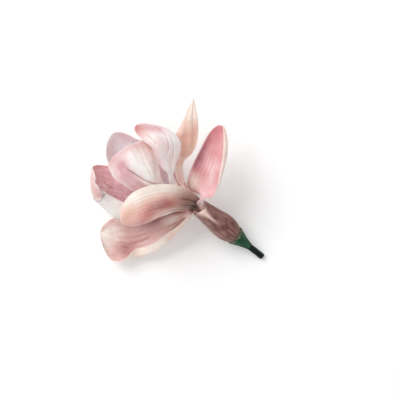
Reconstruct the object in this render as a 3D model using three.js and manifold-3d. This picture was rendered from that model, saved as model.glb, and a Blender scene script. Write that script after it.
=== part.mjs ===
// A picked saucer magnolia bloom, lying on its side on a flat surface.
// Millimetres, +Z up, the surface at z = 0. Nine petals in three whorls stand with their
// narrow claws in the mouth of a swollen tube; a green cup and a short cut stalk close it.
import * as THREE from "three";
import { mergeVertices } from "three/addons/utils/BufferGeometryUtils.js";
import Module from "manifold-3d";

const wasm = await Module();
wasm.setup();

// ---- driving dimensions -------------------------------------------------------------

const MOUTH = new THREE.Vector3(19.5, -23, 31); // middle of the tube's mouth
const HEADING = 142; // degrees from +X to which the bloom looks
const RISE = 22; // degrees by which its axis climbs from stalk to bloom

const TO_MIDDLE = new THREE.Vector3(-1, -0.4, 0); // moves the middle of the bloom's box to x = y = 0

const GAP = 0.3; // between pieces that hold each other
const MERGE = 1e-5; // points closer than this are one

const BLADE = 0.8; // petal thickness
const MIN_HALF_WIDTH = 0.6; // at a petal's very tip
const ROWS = 20; // grid lines along a petal
const COLUMNS = 17; // grid lines across it
const ROW_BUNCHING = 0.6; // draws the grid lines together at the tip
const COLUMN_BUNCHING = 0.45; // draws them together at the edges
const CROSS_STEPS = 8; // steps of the cross-section's integral between two grid lines

const CLAW_DEPTH = 7; // how far the claws reach into the tube
const HELD_TO = 0.19; // share of a petal's length up to which its claw keeps to its ring
const FREE_FROM = 0.3;
const RING = { outer: 6.4, middle: 4.85, inner: 3.35 }; // radius on which each whorl's claws stand
const CLAW_ARC = { outer: 49, middle: 50, inner: 50 }; // half the arc of a claw, degrees

const TUBE_WALL = 0.7;
const MOUTH_BEVEL = 0.4;
const TUBE_SIDES = 36;
const TUBE_PROFILE = [ // distance below the mouth, radius
  [0, 8.0], [5, 8.0], [10, 8.6], [16, 9.3], [22, 10.2], [28, 10.8], [34, 10.6], [39, 9.5],
  [43, 7.9], [47, 6.4], [51, 4.7], [53, 3.4],
];

const CUP_RIM = 43.5; // distance of the green cup's rim below the mouth
const CUP_FOOT = 61;
const CUP_PROFILE = [[43.5, 8.6], [47, 7.4], [51, 5.9], [55, 4.6], [58, 3.8], [61, 3.1]];

const STALK_END = 77.4;
const STALK_RADIUS = 2.75;
const STALK_CHAMFER = 0.6;
const STALK_SIDES = 16;

const CARPEL_TIP = 18; // above the mouth
const CARPEL_PROFILE = [[-6.6, 1.6], [1, 1.5], [4, 1.7], [7, 2.2], [10, 2.2], [14, 1.6], [17, 0.9]];
const CARPELS_FROM = 5; // height above the mouth of the lowest row of carpels, and the highest
const CARPELS_TO = 17;
const CARPEL_BUMP = 0.3; // how far a carpel stands out of the cone
const CARPEL_ROWS = 7;
const CARPELS_ROUND = 6;

const STAMENS = 12;
const STAMEN_SIDES = 6;
const STAMEN_RING = 2.3;
const STAMEN_PROFILE = [[0, -6], [0.25, -6], [0.36, 0], [0.36, 3.4], [0.18, 4], [0, 4]];
const COLLAR = { inner: 1.95, outer: 2.6, bottom: -6.6, top: -5 };

// Each petal: the whorl and the azimuth at which its claw stands (0 is the upper side of the
// tube, 90 the side towards +X +Y), the points its rib goes through after the mouth, the ways
// its inner side looks at the given parts of its length, its half-width and outline, the
// degrees by which its cross-section slopes at the edges (mid-length, tip), how far one side
// is narrower than the other, the extra roll of its left or right edge with the parts of its
// length over which that roll rises and fades, the least half-width of its tip, and the part of
// its length over which its left side gives up what it had over the right.
const PETALS = [
  {
    name: "outer_tepal_right", whorl: "outer", azimuth: 59, color: 0xd9909c,
    rib: [[22, -9.5, 40], [29.5, 4, 44], [35, 22, 46], [39, 46.5, 46]],
    looks: [[-0.35, -0.1, 0.9], [-0.4, 0, 0.9]], lookAt: [0.2, 0.5, 1],
    halfWidth: 17.5, neck: 0.16, widest: 0.56, blunt: 2.3, tip: 0.5,
    cup: [28, 30], rollRight: { angle: 150, from: 0.5, to: 0.95 }, rollRises: [0.4, 0.8],
  },
  {
    name: "outer_tepal_low", whorl: "outer", azimuth: 272, color: 0xdfa3a6,
    rib: [[8, -31, 29], [-13, -41, 10], [-39, -50, 0.4], [-67, -46.5, 9]],
    looks: [[-0.05, 0.25, 0.95], [0.3, 0.1, 0.95]], lookAt: [0.15, 0.5, 1],
    halfWidth: 29.5, neck: 0.27, widest: 0.7, blunt: 2.2, tip: 0.5, lopsided: -0.17,
    cup: [18, 26], rollLeft: { angle: 175, from: 0.45, to: 0.85 }, rollFades: [0.75, 0.95],
  },
  {
    name: "outer_tepal_under", whorl: "outer", azimuth: 168, color: 0xe0a8ac,
    rib: [[7, -13, 19], [-9, 8, 4], [-19, 27, 0.4], [-26, 41, 8]],
    looks: [[0.1, -0.1, 1], [0.4, -0.4, 0.8]], lookAt: [0.15, 0.5, 1],
    halfWidth: 14, neck: 0.3, widest: 0.72, blunt: 2.2, tip: 0.5,
    cup: [40, 45],
  },
  {
    name: "middle_tepal_tall", whorl: "middle", azimuth: 125, color: 0xe6bfa9,
    rib: [[8, -6.5, 31.5], [3, 15, 34], [11.5, 39, 38], [15.5, 70, 42]],
    looks: [[-0.4, -0.5, -0.75], [-0.25, -0.1, -0.9]], lookAt: [0.3, 0.55, 1],
    halfWidth: 11.5, neck: 0.54, widest: 0.73, blunt: 1.5, tip: 1, lopsided: 0.1, least: 1.2,
    cup: [35, 24],
  },
  {
    name: "middle_tepal_left", whorl: "middle", azimuth: 230, color: 0xe3b4b6,
    rib: [[3, -21.5, 27], [-25, -18.5, 13], [-54, -12, 10], [-73.5, -5, 22], [-69, -2, 35]],
    looks: [[0, 0.1, 1], [0.95, 0.2, 0.2]], lookAt: [0.15, 0.45, 1],
    halfWidth: 36, neck: 0.26, widest: 0.6, blunt: 2.4, tip: 0.55, lopsided: -0.35,
    cup: [30, 28], rollLeft: { angle: 165, from: 0.28, to: 0.8 }, rollFades: [0.85, 1.05],
    trimmed: [0.62, 0.86],
  },
  {
    name: "middle_tepal_front", whorl: "middle", azimuth: 350, color: 0xeccdbd,
    rib: [[12, -19.5, 43], [-8, -19, 55], [-28, -25, 61], [-45.5, -36, 52]],
    looks: [[0, 0.35, -0.9], [0.3, 0.3, -0.9]], lookAt: [0.15, 0.5, 1],
    halfWidth: 16, neck: 0.12, widest: 0.7, blunt: 3.2, tip: 0.5, lopsided: -0.05,
    cup: [45, 40],
  },
  {
    name: "inner_tepal_right", whorl: "inner", azimuth: 65, color: 0xedd5d3,
    rib: [[-1, -5, 46], [-4, 11, 57], [-10, 33, 64], [-33, 46, 55]],
    looks: [[-0.35, -0.3, -0.88], [-0.5, -0.3, -0.8]], lookAt: [0.15, 0.5, 1],
    halfWidth: 15.5, neck: 0.5, widest: 0.74, blunt: 2.6, tip: 0.55, lopsided: -0.2,
    cup: [40, 40],
  },
  {
    name: "inner_tepal_front", whorl: "inner", azimuth: 317, color: 0xf0dfda,
    rib: [[-5, -14, 43], [-21, -3, 53], [-31.5, 12.5, 56], [-40, 28.7, 50]],
    looks: [[0, 0, -1], [0.3, -0.6, -0.8]], lookAt: [0.15, 0.5, 1],
    halfWidth: 26, neck: 0.27, widest: 0.94, blunt: 5, tip: 0.3, lopsided: 0.06,
    cup: [45, 50],
  },
  {
    name: "inner_tepal_back", whorl: "inner", azimuth: 200, color: 0xdcb3bd,
    rib: [[2, -11.5, 33], [-24, 12, 22], [-45, 25, 29], [-55, 38, 42]],
    looks: [[0.1, -0.1, 1], [0.5, -0.5, 0.7]], lookAt: [0.15, 0.5, 1],
    halfWidth: 20.5, neck: 0.35, widest: 0.66, blunt: 2.2, tip: 0.5,
    cup: [40, 45],
  },
];

// ---- the bloom's axis ---------------------------------------------------------------

const radians = THREE.MathUtils.degToRad;
const AXIS = new THREE.Vector3(
  Math.cos(radians(HEADING)) * Math.cos(radians(RISE)),
  Math.sin(radians(HEADING)) * Math.cos(radians(RISE)),
  Math.sin(radians(RISE)),
);
const SIDE = new THREE.Vector3(Math.sin(radians(HEADING)), -Math.cos(radians(HEADING)), 0);
const UPPER = new THREE.Vector3().crossVectors(SIDE, AXIS);

// The unit vector that points away from the axis at an azimuth.
function outward(azimuth) {
  const angle = radians(azimuth);
  return UPPER.clone().multiplyScalar(Math.cos(angle)).addScaledVector(SIDE, Math.sin(angle));
}

// A point by its height above the mouth, its azimuth and its distance from the axis.
function onAxis(height, azimuth = 0, radius = 0) {
  return MOUTH.clone().addScaledVector(AXIS, height).addScaledVector(outward(azimuth), radius);
}

// ---- a petal ------------------------------------------------------------------------

const clamp = THREE.MathUtils.clamp;

function smooth(x) {
  const c = clamp(x, 0, 1);
  return c * c * (3 - 2 * c);
}

// Half the width at t: claw, then widening to the widest part, then the rounded tip.
function halfWidthAt(petal, claw, t) {
  if (t < petal.widest) {
    const rise = smooth((t - petal.neck) / (petal.widest - petal.neck));
    return claw + (petal.halfWidth - claw) * rise;
  }
  const x = clamp((t - petal.widest) / (1 - petal.widest), 0, 1);
  const fall = petal.halfWidth * Math.max(1 - x ** petal.blunt, 0) ** petal.tip;
  const least = (petal.least ?? MIN_HALF_WIDTH) * (1 - 0.5 * smooth((t - 0.97) / 0.03));
  return Math.max(fall, least, MIN_HALF_WIDTH);
}

// The way the inner side looks at t, between the ways that the petal states.
function lookAt(petal, t) {
  const root = outward(petal.azimuth).negate();
  const ways = [root, root, ...petal.looks.map((way) => new THREE.Vector3(...way).normalize())];
  const places = [0, ...petal.lookAt];
  let i = 0;
  while (i < places.length - 2 && t > places[i + 1]) i += 1;
  const part = smooth((t - places[i]) / (places[i + 1] - places[i]));
  return ways[i].clone().lerp(ways[i + 1], part);
}

// The place across the petal of a grid line, from -1 at its left edge to 1 at its right.
function placeOf(column) {
  const y = 2 * column / (COLUMNS - 1) - 1;
  return (1 - COLUMN_BUNCHING) * y + COLUMN_BUNCHING * Math.sin(Math.PI * y / 2);
}

// How far an edge's roll has set in at s, 0 at the rib and 1 at the edge.
function rollAt(roll, s) {
  if (!roll) return 0;
  return radians(roll.angle) * clamp((s - roll.from) / (roll.to - roll.from), 0, 1) ** 1.5;
}

// One cross-section: its slope grows from the rib to each edge, and its points are the
// running sum of that slope's cosine (across) and sine (towards the inner side).
function crossSection(petal, t) {
  const opening = smooth((t - 0.12) / 0.38);
  const [riseFrom, riseTo] = petal.rollRises ?? [0.2, 0.6];
  const [fadeFrom, fadeTo] = petal.rollFades ?? [1, 2];
  const risen = smooth((t - riseFrom) / (riseTo - riseFrom));
  const rolling = risen * (1 - smooth((t - fadeFrom) / (fadeTo - fadeFrom)));
  const [midCup, tipCup] = petal.cup;
  const openCup = midCup + (tipCup - midCup) * clamp(2 * t - 1, 0, 1);
  const cup = radians(CLAW_ARC[petal.whorl] * (1 - opening) + openCup * opening);
  const slope = (s) => cup * s + rolling * (rollAt(petal.rollRight, s) - rollAt(petal.rollLeft, -s));
  const points = [];
  const half = (COLUMNS - 1) / 2;
  for (const side of [-1, 1]) {
    let across = 0;
    let inward = 0;
    for (let column = 1; column <= half; column += 1) {
      const start = placeOf(half + side * (column - 1));
      const step = (placeOf(half + side * column) - start) / CROSS_STEPS;
      for (let k = 0; k < CROSS_STEPS; k += 1) {
        const s = start + (k + 0.5) * step;
        across += Math.cos(slope(s)) * step;
        inward += Math.sin(slope(s)) * step;
      }
      points[half + side * column] = [across, inward];
    }
  }
  points[half] = [0, 0];
  return points;
}

// Inside the tube a claw keeps to its whorl's ring, and past the mouth it comes free.
function holdInTube(point, ring, t) {
  const offset = point.sub(MOUTH);
  const height = offset.dot(AXIS);
  const free = smooth((t - HELD_TO) / (FREE_FROM - HELD_TO));
  offset.addScaledVector(AXIS, -height);
  offset.setLength(ring + (offset.length() - ring) * free);
  return offset.add(onAxis(height));
}

// The grid of points halfway through the blade, row by row from the claw to the tip.
function petalGrid(petal) {
  const ring = RING[petal.whorl];
  const claw = ring * radians(CLAW_ARC[petal.whorl]);
  const rib = new THREE.CatmullRomCurve3([
    onAxis(-CLAW_DEPTH, petal.azimuth, ring),
    onAxis(0, petal.azimuth, ring + GAP),
    ...petal.rib.map((point) => new THREE.Vector3(...point)),
  ], false, "catmullrom", 0.5);
  const grid = [];
  for (let row = 0; row < ROWS; row += 1) {
    const x = row / (ROWS - 1);
    const t = (1 - ROW_BUNCHING) * x + ROW_BUNCHING * Math.sin(Math.PI * x / 2);
    const forward = rib.getTangent(t);
    const inner = lookAt(petal, t);
    inner.addScaledVector(forward, -inner.dot(forward)).normalize();
    const across = new THREE.Vector3().crossVectors(forward, inner);
    const width = halfWidthAt(petal, claw, t);
    const [trimFrom, trimTo] = petal.trimmed ?? [1, 2];
    const left = 1 - smooth((t - trimFrom) / (trimTo - trimFrom));
    const lopsided = (petal.lopsided ?? 0) * smooth((t - 0.1) / 0.3);
    grid.push(crossSection(petal, t).map(([a, b], column) => {
      const s = placeOf(column);
      const reach = width * (1 + lopsided * s * (s < 0 ? left : 1));
      const point = rib.getPoint(t).addScaledVector(across, a * reach);
      return holdInTube(point.addScaledVector(inner, b * reach), ring, t);
    }));
  }
  return grid;
}

// The unit normal of the grid at each of its points, towards the outer side.
function gridNormals(grid) {
  return grid.map((line, row) => line.map((_, column) => {
    const along = grid[Math.min(row + 1, ROWS - 1)][column].clone()
      .sub(grid[Math.max(row - 1, 0)][column]);
    const over = line[Math.min(column + 1, COLUMNS - 1)].clone()
      .sub(line[Math.max(column - 1, 0)]);
    return along.cross(over).normalize();
  }));
}

// A closed mesh from a list of points and a list of triangles.
function meshGeometry(points, triangles) {
  const geometry = new THREE.BufferGeometry();
  const positions = points.flatMap((point) => [point.x, point.y, point.z]);
  geometry.setAttribute("position", new THREE.Float32BufferAttribute(positions, 3));
  geometry.setIndex(triangles.flat());
  return geometry;
}

// The blade: the grid raised to both sides by half the thickness, split into triangles
// alike on both, and closed by a wall round its edge.
function petalGeometry(petal) {
  const grid = petalGrid(petal);
  const normals = gridNormals(grid);
  const outer = grid.flatMap((line, row) => line.map((point, column) =>
    point.clone().addScaledVector(normals[row][column], BLADE / 2)));
  const inner = grid.flatMap((line, row) => line.map((point, column) =>
    point.clone().addScaledVector(normals[row][column], -BLADE / 2)));
  const count = outer.length;
  const at = (row, column) => row * COLUMNS + column;
  const triangles = [];
  for (let row = 0; row < ROWS - 1; row += 1) {
    for (let column = 0; column < COLUMNS - 1; column += 1) {
      const a = at(row, column);
      const b = at(row + 1, column);
      const c = at(row + 1, column + 1);
      const d = at(row, column + 1);
      triangles.push([a, b, c], [a, c, d]);
      triangles.push([count + a, count + c, count + b], [count + a, count + d, count + c]);
    }
  }
  const rim = [];
  for (let row = 0; row < ROWS; row += 1) rim.push(at(row, 0));
  for (let column = 1; column < COLUMNS; column += 1) rim.push(at(ROWS - 1, column));
  for (let row = ROWS - 2; row >= 0; row -= 1) rim.push(at(row, COLUMNS - 1));
  for (let column = COLUMNS - 2; column > 0; column -= 1) rim.push(at(0, column));
  rim.forEach((a, i) => {
    const b = rim[(i + 1) % rim.length];
    triangles.push([b, a, count + a], [b, count + a, count + b]);
  });
  return meshGeometry([...outer, ...inner], triangles);
}

// ---- solids that are cut or joined --------------------------------------------------

function toSolid(geometry) {
  const bare = geometry.clone();
  bare.deleteAttribute("normal");
  bare.deleteAttribute("uv");
  const merged = mergeVertices(bare, MERGE);
  return new wasm.Manifold(new wasm.Mesh({
    numProp: 3,
    vertProperties: new Float32Array(merged.attributes.position.array),
    triVerts: new Uint32Array(merged.index.array),
  }));
}

function toGeometry(solid) {
  const mesh = solid.getMesh();
  const geometry = new THREE.BufferGeometry();
  geometry.setAttribute("position", new THREE.BufferAttribute(mesh.vertProperties, 3));
  geometry.setIndex(new THREE.BufferAttribute(mesh.triVerts, 1));
  return geometry;
}

// Whatever reaches the surface gets a small flat there.
function restOnSurface(geometry) {
  geometry.computeBoundingBox();
  if (geometry.boundingBox.min.z > 0) return geometry;
  const [reach, depth] = [400, 20];
  const ground = new THREE.BoxGeometry(reach, reach, depth).translate(0, 0, -depth / 2);
  return toGeometry(toSolid(geometry).subtract(toSolid(ground)));
}

// ---- pieces turned about the bloom's axis -------------------------------------------

// Turns a shape made about +Y, with y as the height above the mouth, onto the axis.
function placeOnAxis(geometry) {
  const place = new THREE.Matrix4().makeBasis(UPPER, AXIS, new THREE.Vector3().crossVectors(UPPER, AXIS));
  place.setPosition(MOUTH);
  return geometry.applyMatrix4(place);
}

function turned(profile, sides) {
  return new THREE.LatheGeometry(profile.map(([radius, y]) => new THREE.Vector2(radius, y)), sides);
}

// The tube: solid below, with a round recess at its mouth for the claws.
function tubeGeometry() {
  const outside = TUBE_PROFILE.map(([depth, radius]) => [radius, -depth]).reverse();
  const bore = TUBE_PROFILE[0][1] - TUBE_WALL;
  return placeOnAxis(turned([
    [0, -TUBE_PROFILE.at(-1)[0]],
    ...outside,
    [bore + MOUTH_BEVEL, 0],
    [bore, -2 * MOUTH_BEVEL],
    [bore, -CLAW_DEPTH - GAP],
    [0, -CLAW_DEPTH - GAP],
  ], TUBE_SIDES));
}

// The tube's radius at a depth, straight between the points of its profile.
function tubeRadius(depth) {
  const i = TUBE_PROFILE.findIndex(([d]) => d >= depth);
  const [d0, r0] = TUBE_PROFILE[i - 1];
  const [d1, r1] = TUBE_PROFILE[i];
  return r0 + (r1 - r0) * (depth - d0) / (d1 - d0);
}

// The green cup: its inside follows the tube at the gap, its outside narrows to the stalk.
function cupGeometry() {
  const outside = CUP_PROFILE.map(([depth, radius]) => [radius, -depth]).reverse();
  const tubeFoot = TUBE_PROFILE.at(-1)[0];
  const inside = TUBE_PROFILE.filter(([depth]) => depth > CUP_RIM)
    .map(([depth, radius]) => [radius + GAP, -depth]);
  return placeOnAxis(turned([
    [0, -CUP_FOOT],
    ...outside,
    [tubeRadius(CUP_RIM) + GAP, -CUP_RIM],
    ...inside,
    [TUBE_PROFILE.at(-1)[1] + GAP, -tubeFoot - GAP],
    [0, -tubeFoot - GAP],
  ], TUBE_SIDES));
}

function stalkGeometry() {
  return placeOnAxis(turned([
    [0, -STALK_END],
    [STALK_RADIUS - STALK_CHAMFER, -STALK_END],
    [STALK_RADIUS, -STALK_END + STALK_CHAMFER],
    [STALK_RADIUS, -CUP_FOOT - GAP],
    [0, -CUP_FOOT - GAP],
  ], STALK_SIDES));
}

// ---- the bloom's centre -------------------------------------------------------------

// The cone: its profile, with the carpels' heads raised in rows that are set off by half
// a place from one row to the next.
function carpelGeometry() {
  const curve = new THREE.CatmullRomCurve3(
    CARPEL_PROFILE.map(([height, radius]) => new THREE.Vector3(radius, height, 0)));
  const steps = 4 * CARPEL_ROWS;
  const profile = curve.getPoints(steps).map((point) => [point.x, point.y]);
  const cone = turned([[0, CARPEL_PROFILE[0][0]], ...profile, [0, CARPEL_TIP]], 4 * CARPELS_ROUND);
  const position = cone.attributes.position;
  for (let i = 0; i < position.count; i += 1) {
    const point = new THREE.Vector3().fromBufferAttribute(position, i);
    const along = (point.y - CARPELS_FROM) / (CARPELS_TO - CARPELS_FROM);
    if (along > 0 && along < 1) {
      const row = along * CARPEL_ROWS;
      const turn = Math.atan2(point.z, point.x) * CARPELS_ROUND + Math.PI * Math.floor(row);
      const bump = CARPEL_BUMP * Math.abs(Math.sin(Math.PI * row)) * (0.5 + 0.5 * Math.cos(turn));
      const radius = Math.hypot(point.x, point.z);
      position.setXYZ(i, point.x * (1 + bump / radius), point.y, point.z * (1 + bump / radius));
    }
  }
  return placeOnAxis(cone);
}

// The stamens: a ring of blunt rods whose feet are sunk in one collar round the cone.
function stamenGeometry() {
  const collar = turned([
    [COLLAR.inner, COLLAR.bottom], [COLLAR.outer, COLLAR.bottom],
    [COLLAR.outer, COLLAR.top], [COLLAR.inner, COLLAR.top], [COLLAR.inner, COLLAR.bottom],
  ], 2 * STAMENS);
  let ring = toSolid(collar);
  const rod = turned(STAMEN_PROFILE, STAMEN_SIDES);
  for (let i = 0; i < STAMENS; i += 1) {
    const turn = 2 * Math.PI * i / STAMENS;
    const stamen = rod.clone().translate(STAMEN_RING * Math.cos(turn), 0, STAMEN_RING * Math.sin(turn));
    ring = ring.add(toSolid(stamen));
  }
  return placeOnAxis(toGeometry(ring));
}

// ---- the part -----------------------------------------------------------------------

const bloom = new THREE.Group();
bloom.position.copy(TO_MIDDLE);

function addPiece(name, geometry, color, roughness) {
  const closed = geometry.index ? geometry : mergeVertices(geometry, MERGE);
  closed.deleteAttribute("normal");
  closed.deleteAttribute("uv");
  const solid = mergeVertices(restOnSurface(closed), MERGE);
  solid.computeVertexNormals();
  const material = new THREE.MeshStandardMaterial({ color, roughness, metalness: 0 });
  const mesh = new THREE.Mesh(solid, material);
  mesh.name = name;
  bloom.add(mesh);
}

for (const petal of PETALS) addPiece(petal.name, petalGeometry(petal), petal.color, 0.6);
addPiece("flower_tube", tubeGeometry(), 0x9a6d6c, 0.55);
addPiece("green_cup", cupGeometry(), 0x2f5a3e, 0.55);
addPiece("cut_stalk", stalkGeometry(), 0x1c2a22, 0.6);
addPiece("carpels", carpelGeometry(), 0xa9ae6a, 0.6);
addPiece("stamens", stamenGeometry(), 0xc98a96, 0.6);

export default bloom;
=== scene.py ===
"""A picked saucer magnolia bloom on a pale surface.

Nine petals in three whorls stand with their claws in the mouth of a mauve tube. A green cup and a
short cut stalk close the tube, and the cone of carpels with its stamens stands between the petals.
Places are in millimetres in the tables and in metres in the meshes.
"""
import math

import bpy
import numpy as np
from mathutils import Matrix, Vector


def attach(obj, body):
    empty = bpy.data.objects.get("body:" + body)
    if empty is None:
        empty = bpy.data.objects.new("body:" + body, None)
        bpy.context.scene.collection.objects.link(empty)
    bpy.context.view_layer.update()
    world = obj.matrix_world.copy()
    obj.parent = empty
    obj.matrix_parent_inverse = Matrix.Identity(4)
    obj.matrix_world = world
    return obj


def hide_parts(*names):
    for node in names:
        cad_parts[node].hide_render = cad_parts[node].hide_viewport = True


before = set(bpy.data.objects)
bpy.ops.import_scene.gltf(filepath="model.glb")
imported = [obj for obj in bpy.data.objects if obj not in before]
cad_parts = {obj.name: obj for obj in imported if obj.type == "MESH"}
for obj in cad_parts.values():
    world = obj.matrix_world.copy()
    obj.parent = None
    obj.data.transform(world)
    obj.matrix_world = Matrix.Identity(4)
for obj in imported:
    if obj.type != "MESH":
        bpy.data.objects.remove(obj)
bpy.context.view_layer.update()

# ---- sizes, in millimetres ----------------------------------------------------------------

MM = 0.001  # in metres
TO_MIDDLE = np.array([-1.0, -0.4, 0.0])  # brings the whole to the middle of the frame
MOUTH = np.array([19.5, -23.0, 31.0]) + TO_MIDDLE  # the middle of the tube's mouth
HEADING = math.radians(142)  # where the bloom's axis points, seen from above
RISE = math.radians(22)  # and how steeply it climbs
GAP = 0.3  # clearance between neighbouring pieces

BLADE = 0.8  # petal thickness
RIM_TAPER = 1.1  # how far from its rim a petal starts to thin
RIM_HALF = 0.12  # half the thickness that is left at the rim
ROWS = 160  # a petal's grid, from its claw to its tip
COLUMNS = 115  # and from one edge to the other
CROSS_STEPS = 600  # steps of the cross-section's integral from one edge to the other
ROW_BUNCHING = 0.6  # how much the rows crowd towards the tip
COLUMN_BUNCHING = 0.45  # how much the columns crowd towards both edges
MIN_HALF_WIDTH = 0.35  # no petal gets narrower, not even at its tip

CLAW_DEPTH = 7.0  # how far the petals' claws reach down into the tube
HELD_TO = 0.19  # the t to which a claw keeps to its ring
FREE_FROM = 0.3  # the t from which a petal no longer does
RING = {"outer": 6.4, "middle": 4.85, "inner": 3.35}  # each whorl's distance from the axis
CLAW_ARC = {"outer": 49, "middle": 50, "inner": 50}  # degrees from a claw's rib to its edge
OPENS_FROM, OPENS_OVER = 0.12, 0.38  # the t where the claw's arc starts to open, and for how long
ROLL_POWER = 1.5  # how softly a rolled edge starts
ROLL_RISES = (0.2, 0.6)  # from which t to which t a roll grows, where a petal doesn't say
PAST_TIP = (1, 2)  # the same for what never happens
LOPSIDED_FROM, LOPSIDED_OVER = 0.1, 0.3

# The relief that only the eye needs.
RELIEF_FROM, RELIEF_OVER = 0.25, 0.3  # the t where it starts, and over which it grows
FULL_RELIEF_HALF_WIDTH = 7.0  # a narrower petal has less of it
PLEATS = 5.5  # in half a petal's width
PLEAT_HEIGHT = 0.12
GROOVE_DEPTH = 0.3  # the groove along the rib
GROOVE_REACH = 1.6
BUCKLES = 7
BUCKLE_HEIGHT = 0.22
CREASE_FADE = 0.25  # the part of a crease at each end over which it fades

UV_SPAN = 100.0  # millimetres to one unit of a piece's UV map
SEED = 7

# Colours of the washes: mostly the petals' own pigments, some also laid as painted shade and
# painted light.
PIGMENT_AND_SHADE_TONES = {
    "cream": "#fdf3ea", "blush": "#f8dcdc", "rose": "#d48d93", "mauve": "#c98a96",
    "wine": "#94404f", "peach": "#e3ab96", "fawn": "#c99a89", "russet": "#b55f58",
    "bark": "#8a6056", "umber": "#401c16", "olive": "#85704f",
}
CLAW_TONE = "#b08479"
CLAW_TONE_TO, CLAW_TONE_FADE = 0.2, 0.2  # the t to which the claw is tan, and over which it fades
# The tint in a crease's valley: partly a bruise of the flesh, partly painted shade.
CREASE_TINT = "#a06c6a"
BRUISE_AND_SHADE, MOST_BRUISE_AND_SHADE = 0.6, 0.9  # how much of the tint for each millimetre of depth, and at most
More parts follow.
